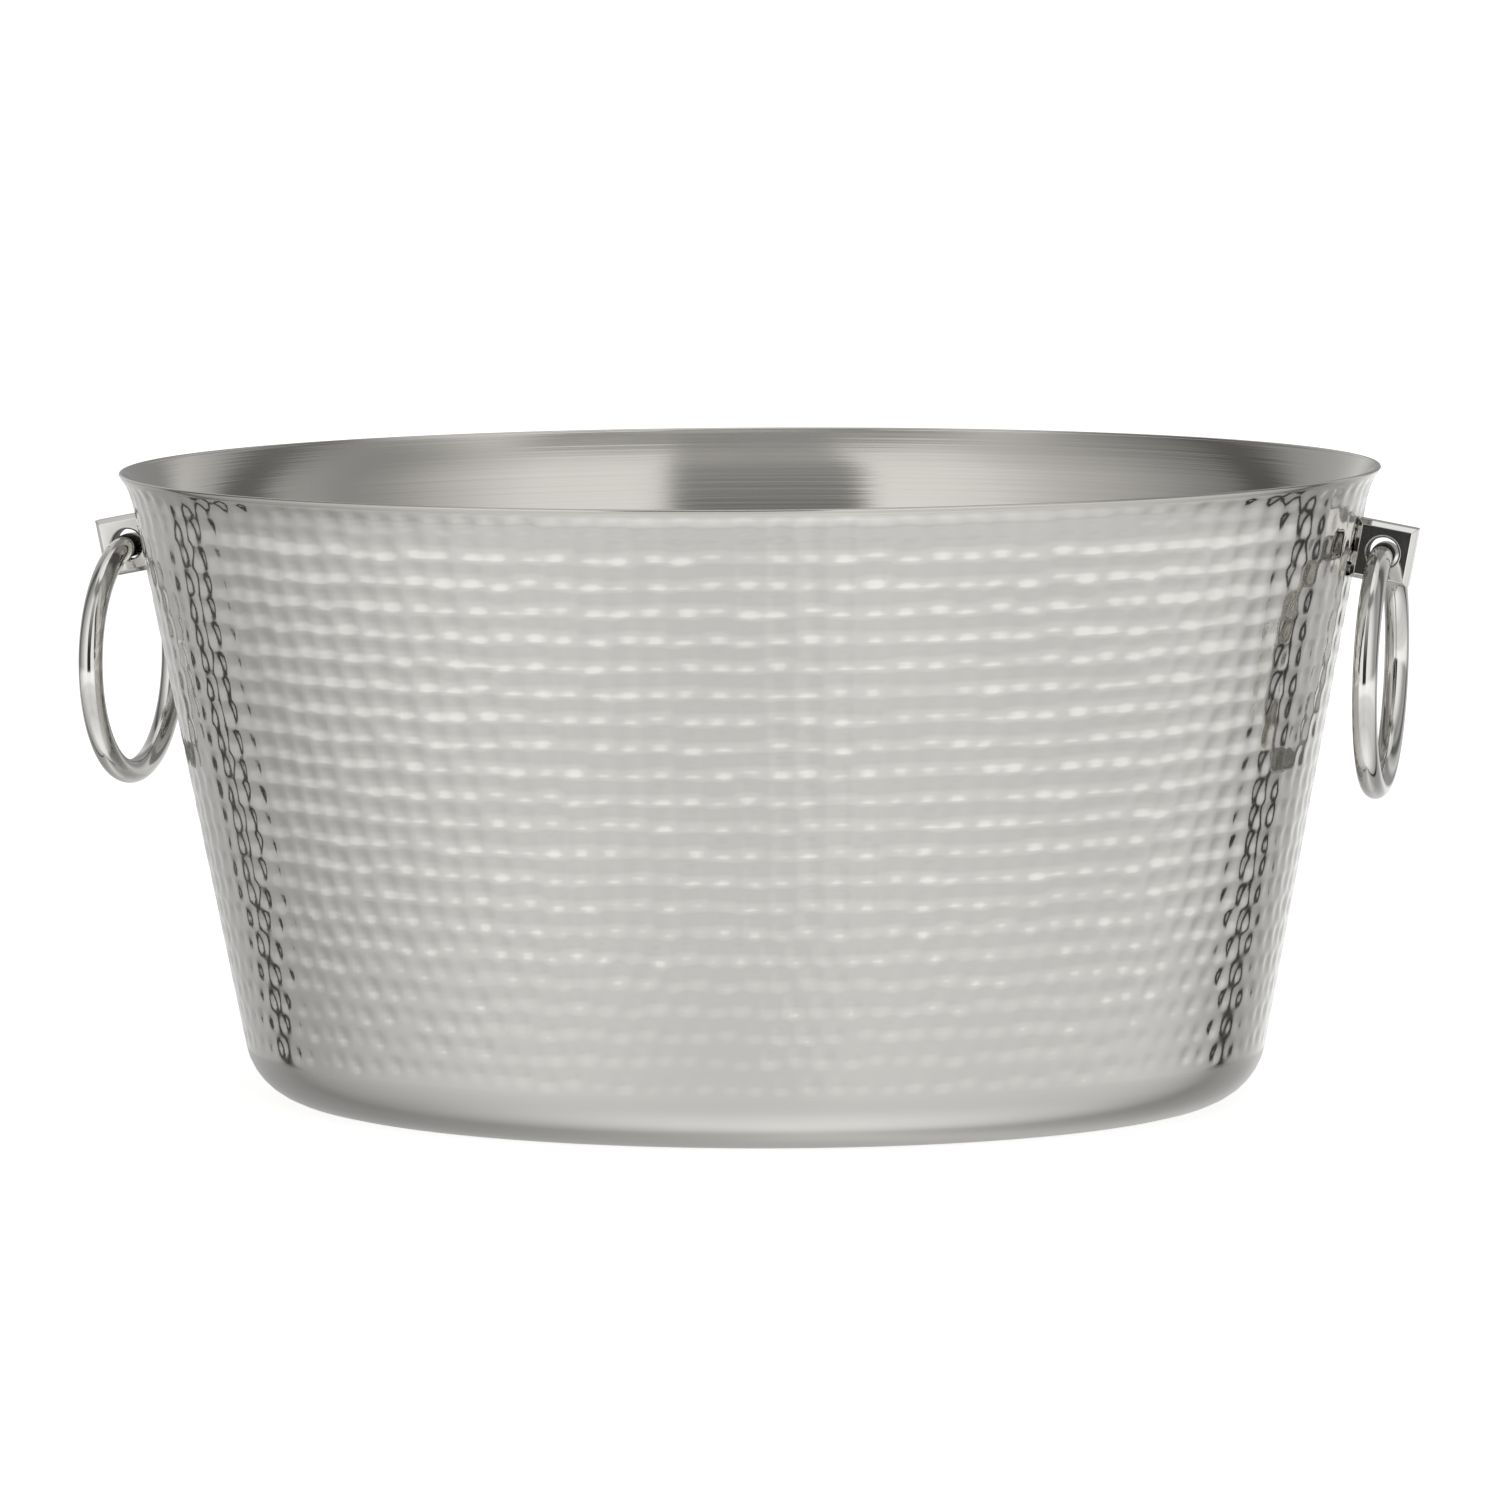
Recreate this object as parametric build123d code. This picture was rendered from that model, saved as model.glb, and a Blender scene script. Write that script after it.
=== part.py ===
from build123d import *
import os
from math import atan, cos, degrees, sin, sqrt

# Oval double-walled drinks tub with two hanging ring handles. Millimetres, +Z up.
# The origin is on the floor under the middle of the tub, and +X runs along its length, through the lugs.
# Every level of the tub is an ellipse. From one level to the next the outline moves in or out by the
# same distance all round, so one half-length gives the whole oval.

# Tub, overall
rim_length = 457.2           # over the rolled rim, along X
rim_width = 381.0            # over the rolled rim, along Y
height = 228.6               # floor to the top of the rolled rim
wall_slope = 0.19            # outward lean of the wall for each millimetre of height
flare_height = 13.6          # top stretch that curves out to the rim
flare_reach = 2.2            # how far the flare stands out past the line of the wall
flare_steps = 4              # levels that make the curve of the flare
rim_upright = 1.6            # last stretch under the rim's top, which stands upright
seam_clearance = 0.1         # between the two sheets where they meet

# Outer shell
shell_thickness = 0.8
shell_bottom_radius = 24.0   # outside radius where the wall turns into the bottom
foot_width = 14.0            # flat ring that the tub stands on
foot_recess = 1.5            # how far the middle of the bottom is pressed up

# Inner liner
liner_thickness = 0.7
wall_gap = 8.0               # air between the two walls
bottom_gap = 7.5             # air between the pressed-up bottom and the liner
liner_bottom_radius = 22.0   # outside radius of the liner's bottom corner
lip_height = 3.6             # lip of the liner just under the rim, which lies against the shell
draw_in_height = 50.0        # stretch below the lip where the liner draws in to the full gap
draw_in_steps = 10
hem_height = 2.4             # how far the rolled edge comes down outside the shell
rim_edge_radius = 0.9        # rounding of the rolled rim

# Lugs, square to the leaning wall, one at each end of the tub
lug_size = 21.3              # square, seen from the front
lug_thickness = 9.5          # along Y
lug_drop = 27.5              # from the top of the rim to the middle of the lug on the wall
lug_chamfer = 1.7
lug_hole_play = 2.4          # the hole is this much wider than the ring's wire
lug_hole_chamfer = 0.7
lug_seat_clearance = 0.1

# Ring handles
ring_diameter = 92.0         # outside
ring_wire_diameter = 8.8
ring_seat_clearance = 0.4    # wire to the bottom of the lug's hole
right_ring_lean = 1.9        # degrees that the right ring hangs in towards the tub at rest
left_ring_lean = 0.0
right_ring_turn = 0.0        # degrees that a ring sits turned in its loose hole, anticlockwise from above
left_ring_turn = -5.3
lug_hole_diameter = ring_wire_diameter + lug_hole_play

# Screws, backing plates and spring washers between the walls
screw_diameter = 4.0
screw_edge_distance = 2.85   # middle of a screw from the lug's edge
screw_pitch = lug_size - 2 * screw_edge_distance
full_screw_depth = 7.0       # reach into the lug, where its cross hole isn't in the way
screw_hole_wall = 0.2        # least metal between a screw and the cross hole
screw_hole_diameter = 4.5    # in the shell and the plate
tapped_clearance = 0.05      # radial, screw to the lug's tapped hole
tapped_hole_margin = 0.5     # hole depth past the screw's end
screw_head_diameter = 7.0
screw_head_height = 1.3      # low button head, to fit between the walls
screw_head_radius = 0.5
socket_across_flats = 2.5
socket_depth = 1.0
plate_thickness = 1.0
plate_width = 26.0           # along Y
plate_length = 25.0          # along the wall
stack_clearance = 0.1        # between shell, plate, washer and head
washer_diameter = 7.0
washer_bore = 4.3
washer_thickness = 0.7
washer_slit = 0.6

cut_margin = 1.0             # how far a cutting solid runs past what it cuts

# Where a primitive sits on its own origin
BOTTOM = (Align.CENTER, Align.CENTER, Align.MIN)
TOP = (Align.CENTER, Align.CENTER, Align.MAX)
WALL = (Align.MIN, Align.CENTER, Align.CENTER)

# Derived from the driving dimensions
half_difference = (rim_length - rim_width) / 2
lean = atan(wall_slope)
shell_inset = shell_thickness / cos(lean)
liner_inset = liner_thickness / cos(lean)
shell_top = height - liner_thickness - seam_clearance
shell_line_at_top = rim_length / 2 - liner_inset - seam_clearance
flare_start = height - flare_height
flare_end = height - rim_upright
lip_start = height - lip_height
draw_in_start = lip_start - draw_in_height
liner_floor = shell_thickness + foot_recess + bottom_gap
lug_height = height - lug_drop
ring_radius = (ring_diameter - ring_wire_diameter) / 2
washer_seat = shell_thickness + stack_clearance + plate_thickness + stack_clearance
head_seat = washer_seat + washer_thickness + stack_clearance


def shell_half_length(z):
    """Half-length of the shell's outer face at a height above the floor. The last stretch stands upright."""
    level = min(z, flare_end)
    flare = max(0.0, level - flare_start) / (flare_end - flare_start)
    return shell_line_at_top - wall_slope * (flare_end - level) - flare_reach * (1 - flare**2)


def liner_half_length(z):
    """Half-length of the liner's outer face, the one between the walls."""
    closed = min(1.0, max(0.0, (z - draw_in_start) / draw_in_height))
    full_gap = wall_gap / cos(lean)
    gap = full_gap - (full_gap - seam_clearance) * closed**2
    return shell_half_length(z) - shell_inset - gap


def steps(start, end, count):
    """Evenly spaced heights from start to end, both included."""
    return [start + (end - start) * i / count for i in range(count + 1)]


def oval(half_length, z):
    """The tub's outline at one height, in two halves that meet in the middle of its long sides."""
    half_width = half_length - half_difference
    right = EllipticalCenterArc((0, 0), half_length, half_width, -90, arc_size=180)
    left = EllipticalCenterArc((0, 0), half_length, half_width, 90, arc_size=180)
    return Pos(0, 0, z) * make_face(right + left)


def oval_solid(half_length, heights, offset=0.0):
    """Solid that follows a half-length function through a list of heights."""
    return loft([oval(half_length(z) + offset, z) for z in heights], ruled=True)


def rounded_bottom(solid, radius):
    """Round the corner between the wall and the bottom."""
    return fillet(solid.edges().group_by(Axis.Z)[0], radius)


def wall_heights(bottom, top):
    """Heights that the walls need between a bottom and a top: straight, then the curved stretches."""
    curved = steps(flare_start, flare_end, flare_steps) + steps(draw_in_start, lip_start, draw_in_steps)
    inner = sorted({round(z, 6) for z in curved if bottom < z < top})
    return [bottom, *inner, top]


def recess(raised=0.0):
    """The pressed-up middle of the bottom. Raised by the sheet's thickness, it gives the upper face."""
    half_length = shell_half_length(0) - shell_bottom_radius - foot_width + raised
    return loft([oval(half_length, 0), oval(half_length - foot_recess, foot_recess + raised)], ruled=True)


def outer_shell():
    outside = oval_solid(shell_half_length, wall_heights(0, shell_top))
    outside = rounded_bottom(outside, shell_bottom_radius) - recess()
    inside_heights = wall_heights(shell_thickness, shell_top + cut_margin)
    inside = oval_solid(shell_half_length, inside_heights, -shell_inset)
    inside = rounded_bottom(inside, shell_bottom_radius - shell_thickness) - recess(shell_thickness)
    shell = outside - inside
    for turn in (0, 180):
        for place in screw_places():
            shell -= Rot(0, 0, turn) * place * Cylinder(screw_hole_diameter / 2, 2 * wall_gap)
    return shell


def inner_liner():
    """The inner tub. Its top edge is rolled over the edge of the shell and down outside it."""
    outside = oval_solid(liner_half_length, wall_heights(liner_floor, height))
    outside = rounded_bottom(outside, liner_bottom_radius)
    hem_end = height - hem_height
    roll = oval_solid(shell_half_length, wall_heights(hem_end, height), seam_clearance + liner_inset)
    slot_heights = wall_heights(hem_end - cut_margin, shell_top + seam_clearance)
    edge_slot = oval_solid(shell_half_length, slot_heights, seam_clearance)
    edge_slot -= oval_solid(liner_half_length, wall_heights(hem_end - 2 * cut_margin, height))
    inside_heights = wall_heights(liner_floor + liner_thickness, height + cut_margin)
    inside = oval_solid(liner_half_length, inside_heights, -liner_inset)
    inside = rounded_bottom(inside, liner_bottom_radius - liner_thickness)
    liner = outside + roll - edge_slot - inside
    return fillet(liner.edges().group_by(Axis.Z)[-1], rim_edge_radius)


def lug_place():
    """Frame on the wall at the right lug: local X points straight out of the wall, local Z up along it."""
    return Pos(shell_half_length(lug_height), 0, lug_height) * Rot(0, degrees(lean), 0)


def screw_places():
    """Frames of a lug's two screws, upper then lower: local Z points out of the wall."""
    return [lug_place() * Pos(0, 0, side * screw_pitch / 2) * Rot(0, 90, 0) for side in (1, -1)]


def lug_hole_place():
    """Middle of the lug's cross hole, in the lug's own frame."""
    return Pos(lug_seat_clearance + lug_size / 2, 0, 0)


def screw_depth():
    """Reach of a screw into the lug, which stops short of the cross hole where that is in its way."""
    hole_radius = lug_hole_diameter / 2 + screw_hole_wall
    beside = screw_pitch / 2 - screw_diameter / 2 - tapped_clearance
    room = lug_size / 2 - sqrt(max(0, hole_radius**2 - beside**2))
    return min(full_screw_depth, room - tapped_hole_margin)


def lug():
    """Square block with a cross hole for the ring and two blind tapped holes from the wall's side."""
    block = Pos(lug_seat_clearance, 0, 0) * Box(lug_size, lug_thickness, lug_size, align=WALL)
    block = chamfer(block.edges().filter_by(Axis.Y, reverse=True), lug_chamfer)
    block -= lug_hole_place() * Rot(90, 0, 0) * Cylinder(lug_hole_diameter / 2, 2 * lug_thickness)
    block = lug_place() * chamfer(block.edges().filter_by(GeomType.CIRCLE), lug_hole_chamfer)
    hole_depth = screw_depth() + tapped_hole_margin
    for place in screw_places():
        block -= place * Cylinder(screw_diameter / 2 + tapped_clearance, hole_depth, align=BOTTOM)
    return block


def ring_pivot():
    """Middle of the ring's wire inside the lug's hole. The ring swings about the wire's line there."""
    wire_bend = ring_radius - sqrt(ring_radius**2 - (lug_thickness / 2)**2)
    play = (lug_hole_diameter - ring_wire_diameter) / 2
    hole = (lug_place() * lug_hole_place()).position
    return Vector(hole.X, 0, hole.Z - play + wire_bend + ring_seat_clearance)


def ring_handle(lean_in, turn):
    """One closed round ring, hanging across the tub from its pivot as a loose ring does."""
    ring = Pos(0, 0, -ring_radius) * Rot(0, 90, 0) * Torus(ring_radius, ring_wire_diameter / 2)
    return Pos(ring_pivot()) * Rot(0, 0, turn) * Rot(0, lean_in, 0) * ring


def backing_plate():
    """Curved plate that lies against the inside of the shell behind a lug."""
    heights = wall_heights(lug_height - plate_length, lug_height + plate_length)
    near_offset = -shell_inset - stack_clearance
    near = oval_solid(shell_half_length, heights, near_offset)
    far = oval_solid(shell_half_length, heights, near_offset - plate_thickness / cos(lean))
    plate = (near - far) & lug_place() * Box(plate_length, plate_width, plate_length)
    for place in screw_places():
        plate -= place * Cylinder(screw_hole_diameter / 2, plate_length)
    return plate


def spring_washer():
    """Split washer in a screw's frame, against the backing plate."""
    ring = Cylinder(washer_diameter / 2, washer_thickness, align=TOP)
    ring -= Cylinder(washer_bore / 2, washer_thickness, align=TOP)
    ring -= Box(washer_diameter, washer_slit, 2 * washer_thickness, align=WALL)
    return Pos(0, 0, -washer_seat) * ring


def lug_screw():
    """Button head screw with a hexagon socket, in a screw's frame, its head against the washer."""
    shank_length = head_seat + screw_depth()
    head = Cylinder(screw_head_diameter / 2, screw_head_height, align=TOP)
    head = fillet(head.edges().group_by(Axis.Z)[0], screw_head_radius)
    socket = extrude(RegularPolygon(socket_across_flats / 2, 6, major_radius=False), socket_depth)
    shank = Cylinder(screw_diameter / 2, shank_length, align=BOTTOM)
    return Pos(0, 0, -head_seat) * (head - Pos(0, 0, -screw_head_height) * socket + shank)


def write(name, solid):
    solid.label = name
    export_step(solid, f"parts/{name}.step")


os.makedirs("parts", exist_ok=True)
write("outer_shell", outer_shell())
write("inner_liner", inner_liner())
right_ring = ring_handle(right_ring_lean, right_ring_turn)
left_ring = ring_handle(left_ring_lean, left_ring_turn)
for side, turn, ring in (("right", Rot(0, 0, 0), right_ring), ("left", Rot(0, 0, 180), left_ring)):
    write(f"{side}_lug", turn * lug())
    write(f"{side}_ring_handle", turn * ring)
    write(f"{side}_backing_plate", turn * backing_plate())
    for level, place in zip(("upper", "lower"), screw_places()):
        write(f"{side}_{level}_spring_washer", turn * place * spring_washer())
        write(f"{side}_{level}_lug_screw", turn * place * lug_screw())
print(f"The right ring swings about x {ring_pivot().X:.3f}, z {ring_pivot().Z:.3f}")
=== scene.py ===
"""Oval double-walled drinks tub: hammered shell, brushed liner, polished lugs and ring handles.

Everything is in metres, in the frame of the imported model: the floor is z = 0 and +X runs along the tub.
"""

from math import atan, cos, pi, radians, sin, sqrt, tan

import bmesh
import bpy
import numpy as np
from mathutils import Matrix, Vector


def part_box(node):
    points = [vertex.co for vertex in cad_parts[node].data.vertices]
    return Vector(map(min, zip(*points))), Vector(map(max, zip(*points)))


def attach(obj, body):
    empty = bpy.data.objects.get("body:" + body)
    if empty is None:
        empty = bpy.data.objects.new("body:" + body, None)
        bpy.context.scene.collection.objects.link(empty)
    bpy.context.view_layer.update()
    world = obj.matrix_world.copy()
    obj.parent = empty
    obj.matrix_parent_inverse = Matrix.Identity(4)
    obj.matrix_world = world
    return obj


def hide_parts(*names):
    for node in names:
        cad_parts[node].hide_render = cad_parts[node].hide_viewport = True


bl_info = {
    "name": "Hammered Drinks Tub",
    "version": (1, 0, 0),
    "blender": (4, 5, 0),
    "location": "3D View > Sidebar > Drinks Tub",
    "description": "Builds an oval double-walled drinks tub with ring handles around its packed frame",
    "category": "Add Mesh",
}

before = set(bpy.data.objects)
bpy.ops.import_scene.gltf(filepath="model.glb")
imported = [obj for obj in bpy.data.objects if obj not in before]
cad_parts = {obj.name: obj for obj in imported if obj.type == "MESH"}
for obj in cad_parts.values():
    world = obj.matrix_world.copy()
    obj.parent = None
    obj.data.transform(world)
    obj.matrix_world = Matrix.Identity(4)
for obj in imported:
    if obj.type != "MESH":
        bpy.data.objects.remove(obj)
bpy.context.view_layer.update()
MM = 0.001
SIDES = ("right", "left")


def span(node, axis):
    """Length of a CAD node's box along one axis, in metres."""
    low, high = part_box(node)
    return high[axis] - low[axis]


# ---------------- settings

def length(name, value, description):
    return bpy.props.FloatProperty(name=name, default=value, min=0.0, precision=4, unit="LENGTH",
                                   description=description)


def amount(name, value, description, low=0.0, high=1.0):
    return bpy.props.FloatProperty(name=name, default=value, min=low, max=high, subtype="FACTOR",
                                   description=description)


def number(name, value, description):
    return bpy.props.FloatProperty(name=name, default=value, description=description)


def count(name, value, description):
    return bpy.props.IntProperty(name=name, default=value, min=0, description=description)


def angle(name, degrees, description):
    return bpy.props.FloatProperty(name=name, default=radians(degrees), unit="ROTATION", subtype="ANGLE",
                                   description=description)


def colour(name, value, description):
    return bpy.props.FloatVectorProperty(name=name, default=(*value, 1.0), size=4, min=0.0, max=1.0,
                                         subtype="COLOR", description=description)


class TubSizes(bpy.types.PropertyGroup):
    rim_length: length("Rim length", span("inner_liner", 0), "Over the rolled rim, along the tub")
    rim_width: length("Rim width", span("inner_liner", 1), "Over the rolled rim, across the tub")
    height: length("Height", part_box("inner_liner")[1].z, "Floor to the top of the rim")
    wall_slope: number("Wall slope", 0.19, "Outward lean of the wall for each metre of height")
    flare_height: length("Flare height", 13.6 * MM, "Top stretch that curves out to the rim")
    flare_reach: length("Flare reach", 2.2 * MM, "How far the flare stands out past the wall's line")
    rim_upright: length("Rim upright", 1.6 * MM, "Last stretch under the rim's top, which stands upright")
    seam: length("Seam", 0.1 * MM, "Clearance between the two sheets where they meet")
    shell_thickness: length("Shell thickness", 0.8 * MM, "Outer sheet")
    shell_bottom_radius: length("Shell bottom radius", 24 * MM, "Outside radius of the bottom corner")
    foot_width: length("Foot width", 14 * MM, "Flat ring that the tub stands on")
    foot_recess: length("Foot recess", 1.5 * MM, "How far the middle of the bottom is pressed up")
    liner_thickness: length("Liner thickness", 0.7 * MM, "Inner sheet")
    liner_bottom_radius: length("Liner bottom radius", 22 * MM, "Outside radius of the liner's corner")
    wall_gap: length("Wall gap", 8 * MM, "Air between the two walls")
    bottom_gap: length("Bottom gap", 7.5 * MM, "Air between the two bottoms")
    lip_height: length("Lip height", 3.6 * MM, "Lip of the liner under the rim, against the shell")
    draw_in: length("Draw-in", 50 * MM, "Stretch below the lip where the liner draws in to the full gap")
    lip_bend: length("Lip bend", 15.6 * MM, "Stretch below the rim where the liner bends outwards")
    rim_radius: length("Rim radius", 0.75 * MM, "Rounding of the rolled edge")
    lip_turn: angle("Lip turn", 38.0, "Lean of the lip where it rolls over the rim")
    hem_height: length("Hem height", 2.4 * MM, "How far the rolled edge comes down outside")


class HammerSizes(bpy.types.PropertyGroup):
    columns: count("Columns", 116, "Hammer marks in one turn of the tub")
    rows: count("Rows", 22, "Rows of hammer marks from the foot to the rim")
    start: length("Start", 21 * MM, "Height of the lower edge of the hammering")
    depth: length("Depth", 0.68 * MM, "Depth of a hammer mark at the rim, below its corners")
    spread: amount("Spread", 0.37, "Squared radius of a full mark, in marks")
    scatter: amount("Scatter", 0.11, "How far a mark strays from its place, in marks")
    variation: amount("Variation", 0.07, "How much the marks differ in depth")
    foot_share: amount("Foot share", 0.42, "Depth of the marks at the foot, as a share of the full depth")
    full_row: number("Full row", 9.0, "Row from the foot where the marks reach their full depth")
    rim_strip: length("Rim strip", 1.8 * MM, "Smooth strip at the shell's top edge, hidden by the rim")
    staggered_rows: count("Staggered rows", 7, "Rows at the foot whose marks stand between the next row's")
    seed: count("Seed", 11, "Seed of the scatter")


class FittingSizes(bpy.types.PropertyGroup):
    lug_thickness: length("Lug thickness", span("right_lug", 1), "Across the lug, along its hole")
    lug_chamfer: length("Lug chamfer", 1.7 * MM, "Chamfer round the lug's two faces")
    lug_hole: length("Lug hole", 11.2 * MM, "Diameter of the lug's hole")
    hole_chamfer: length("Hole chamfer", 0.7 * MM, "Chamfer at the hole's mouths")
    edge_rounding: length("Edge rounding", 0.22 * MM, "Rounding of the lug's sharp edges")
    ring_wire: length("Ring wire", 8.8 * MM, "Diameter of the rings' wire")
    right_ring_lean: angle("Right ring lean", 1.9, "How far the right ring hangs in towards the tub")
    left_ring_turn: angle("Left ring turn", -5.3, "How far the left ring sits turned in its lug's hole")


class FinishSettings(bpy.types.PropertyGroup):
    shell_colour: colour("Shell", (0.635, 0.622, 0.594), "Hammered sheet")
    liner_colour: colour("Liner", (0.610, 0.590, 0.553), "Brushed sheet")
    fitting_colour: colour("Fittings", (0.68, 0.67, 0.645), "Polished lugs and rings")
    hardware_colour: colour("Hardware", (0.50, 0.50, 0.50), "Hidden screws, washers and plates")
    # Painted shade: the lugs' holes are darkened to this share of the hardware's colour, standing in for
    # the shade inside them
    bore_shade_share: amount("Bore shade share", 0.16, "Brightness of the lugs' holes, as a share of the hardware's")


class StageSettings(bpy.types.PropertyGroup):
    distance: length("Camera distance", 3.086, "From the tub's axis, level with the floor")
    azimuth: angle("Camera azimuth", 12.03, "Turn of the camera round the tub, towards its right end")
    height: length("Camera height", 0.467, "Above the floor")
    pitch: angle("Camera pitch", 6.312, "Downward tilt")
    roll: angle("Camera roll", -0.646, "Turn about the line of sight")
    lens: number("Focal length", 206.0, "In millimetres, on a 36 mm sensor")
    floor_size: length("Floor size", 200.0, "Side of the floor")
    floor_grey: amount("Floor grey", 0.8, "Colour of the floor, which holds the tub's shadow")
    floor_glow: amount("Floor glow", 0.67, "Light from the floor itself, so that it shows white", high=2.0)


GROUPS = {"tub_sizes": TubSizes, "hammer_sizes": HammerSizes, "fitting_sizes": FittingSizes,
          "finish": FinishSettings, "stage": StageSettings}


# ---------------- the tub's form

FINE_STEPS = 20000           # steps round an ellipse when its outline is measured


class TubForm:
    """Outlines and profiles of the tub. A profile point is (half-length, half-width, height)."""

    def __init__(self, sizes):
        self.s = sizes
        self.lean = atan(sizes.wall_slope)
        self.half_difference = (sizes.rim_length - sizes.rim_width) / 2
        self.shell_inset = sizes.shell_thickness / cos(self.lean)
        self.liner_inset = sizes.liner_thickness / cos(self.lean)
        self.flare_start = sizes.height - sizes.flare_height
        self.flare_end = sizes.height - sizes.rim_upright
        self.shell_top = sizes.height - sizes.liner_thickness - sizes.seam
        self.line_at_top = sizes.rim_length / 2 - self.liner_inset - sizes.seam
        self.lip_start = sizes.height - sizes.lip_height
        self.draw_in_start = self.lip_start - sizes.draw_in
        self.liner_floor = sizes.shell_thickness + sizes.foot_recess + sizes.bottom_gap

    def shell_reach(self, z):
        """Half-length of the shell's outer face."""
        level = min(z, self.flare_end)
        flare = max(0.0, level - self.flare_start) / (self.flare_end - self.flare_start)
        line = self.line_at_top - self.s.wall_slope * (self.flare_end - level)
        return line - self.s.flare_reach * (1 - flare**2)

    def liner_reach(self, z):
        """Half-length of the liner's face inside the double wall."""
        closed = min(1.0, max(0.0, (z - self.draw_in_start) / self.s.draw_in))
        full_gap = self.s.wall_gap / cos(self.lean)
        gap = full_gap - (full_gap - self.s.seam) * closed**2
        return self.shell_reach(z) - self.shell_inset - gap

    def point(self, reach, z):
        return (reach, reach - self.half_difference, z)

    def wall(self, reach, bottom, top, steps, offset=0.0):
        """Evenly spaced levels of a wall, from bottom to top."""
        heights = [bottom + (top - bottom) * i / steps for i in range(steps + 1)]
        return [self.point(reach(z) + offset, z) for z in heights]

    def corner(self, reach, floor, radius, steps, offset=0.0):
        """Round corner from a flat bottom up to the foot of a leaning wall."""
        centre_z = floor + radius
        centre_r = reach(centre_z) + offset - radius / cos(self.lean)
        sweep = pi / 2 - self.lean
        points = []
        for i in range(steps + 1):
            a = sweep * i / steps
            points.append(self.point(centre_r + radius * sin(a), centre_z - radius * cos(a)))
        return points

    def disc(self, edge, z, rings):
        """Flat levels from near the middle out to an edge level, the edge itself left out."""
        shares = [(i + 1) / (rings + 1) for i in range(rings)]
        return [(edge[0] * share, edge[1] * share, z) for share in shares]


def even_angles(half_length, half_width, number):
    """Ellipse parameters that divide the outline into equal lengths."""
    fine = np.linspace(0.0, 2 * pi, FINE_STEPS + 1)
    speed = np.hypot(half_length * np.sin(fine), half_width * np.cos(fine))
    run = np.concatenate([[0.0], np.cumsum((speed[1:] + speed[:-1]) / 2 * np.diff(fine))])
    return np.interp(np.arange(number) / number * run[-1], run, fine)


def band(first, second, number):
    """Quads between two closed loops of vertices, each loop given by its first vertex."""
    pairs = [(i, (i + 1) % number) for i in range(number)]
    return [(first + i, first + j, second + j, second + i) for i, j in pairs]


def lathe_oval(name, profile, angles):
    """Closed mesh whose rings are ellipses. The profile starts and ends at the middle of a flat face."""
    around, rings = len(angles), len(profile)
    points = np.array(profile)
    grid = np.empty((rings, around, 3))
    grid[..., 0] = points[:, None, 0] * np.cos(angles)
    grid[..., 1] = points[:, None, 1] * np.sin(angles)
    grid[..., 2] = points[:, None, 2]
    verts = grid.reshape(-1, 3).tolist() + [(0, 0, profile[0][2]), (0, 0, profile[-1][2])]
    faces = []
    for r in range(rings - 1):
        faces += band(r * around, (r + 1) * around, around)
    first = rings * around
    last = first + 1
    top = first - around
    for i in range(around):
        j = (i + 1) % around
        faces.append((j, i, first))
        faces.append((top + i, top + j, last))
    mesh = bpy.data.meshes.new(name)
    mesh.from_pydata(verts, [], faces)
    mesh.shade_smooth()
    return mesh


def outward_mesh(name, verts, faces):
    """Smooth-shaded mesh whose faces all point outwards."""
    mesh = bpy.data.meshes.new(name)
    mesh.from_pydata(verts, [], faces)
    shape = bmesh.new()
    shape.from_mesh(mesh)
    bmesh.ops.recalc_face_normals(shape, faces=shape.faces)
    shape.to_mesh(mesh)
    shape.free()
    mesh.shade_smooth()
    return mesh


def new_object(name, data):
    """Object in the scene."""
    made = bpy.data.objects.new(name, data)
    bpy.context.scene.collection.objects.link(made)
    return made


def new_piece(name, mesh, material):
    """Object in the scene with one mesh and one material."""
    mesh.materials.append(material)
    return new_object(name, mesh)


def require_closed(piece):
    """Stops the build if a piece has an open edge or is inside out."""
    shape = bmesh.new()
    shape.from_mesh(piece.data)
    closed = all(edge.is_manifold for edge in shape.edges)
    volume = shape.calc_volume(signed=True)
    shape.free()
    if not closed or volume <= 0:
        raise RuntimeError(f"{piece.name} is open or inside out")


def plain_mesh(piece, name):
    """Turns a piece with live modifiers into a plain mesh in the same place."""
    bpy.context.view_layer.update()
    graph = bpy.context.evaluated_depsgraph_get()
    mesh = bpy.data.meshes.new_from_object(piece.evaluated_get(graph))
    mesh.name = name
    piece.modifiers.clear()
    piece.data = mesh
    return piece


def settings(context):
    """Settings of the scene's drinks tub."""
    return context.scene.drinks_tub


# ---------------- node tree helpers

class Tree:
    """Short calls for building a node tree."""

    def __init__(self, tree):
        self.tree = tree

    def add(self, kind, inputs=None, **values):
        node = self.tree.nodes.new(kind)
        for key, value in values.items():
            setattr(node, key, value)
        for key, value in (inputs or {}).items():
            self.feed(node.inputs[key], value)
        return node

    def feed(self, socket, value):
        """Links a node or one of its outputs to a socket, or sets the socket to a value."""
        if isinstance(value, bpy.types.NodeSocket):
            self.tree.links.new(value, socket)
        elif isinstance(value, bpy.types.Node):
            self.tree.links.new(value.outputs[0], socket)
        else:
            socket.default_value = value

    def math(self, operation, *values, clamp=False):
        node = self.add("ShaderNodeMath", operation=operation, use_clamp=clamp)
        for socket, value in zip(node.inputs, values):
            self.feed(socket, value)
        return node.outputs[0]


def new_material(name):
    """Material with an empty node tree."""
    material = bpy.data.materials.new(name)
    material.use_nodes = True
    material.node_tree.nodes.clear()
    return material, Tree(material.node_tree)


def add_sockets(tree, inputs, outputs):
    """Named sockets of a node group, given as pairs of a name and a kind."""
    for direction, sockets in (("INPUT", inputs), ("OUTPUT", outputs)):
        for name, kind in sockets:
            tree.interface.new_socket(name, in_out=direction, socket_type=kind)


# ---------------- hammering

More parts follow.
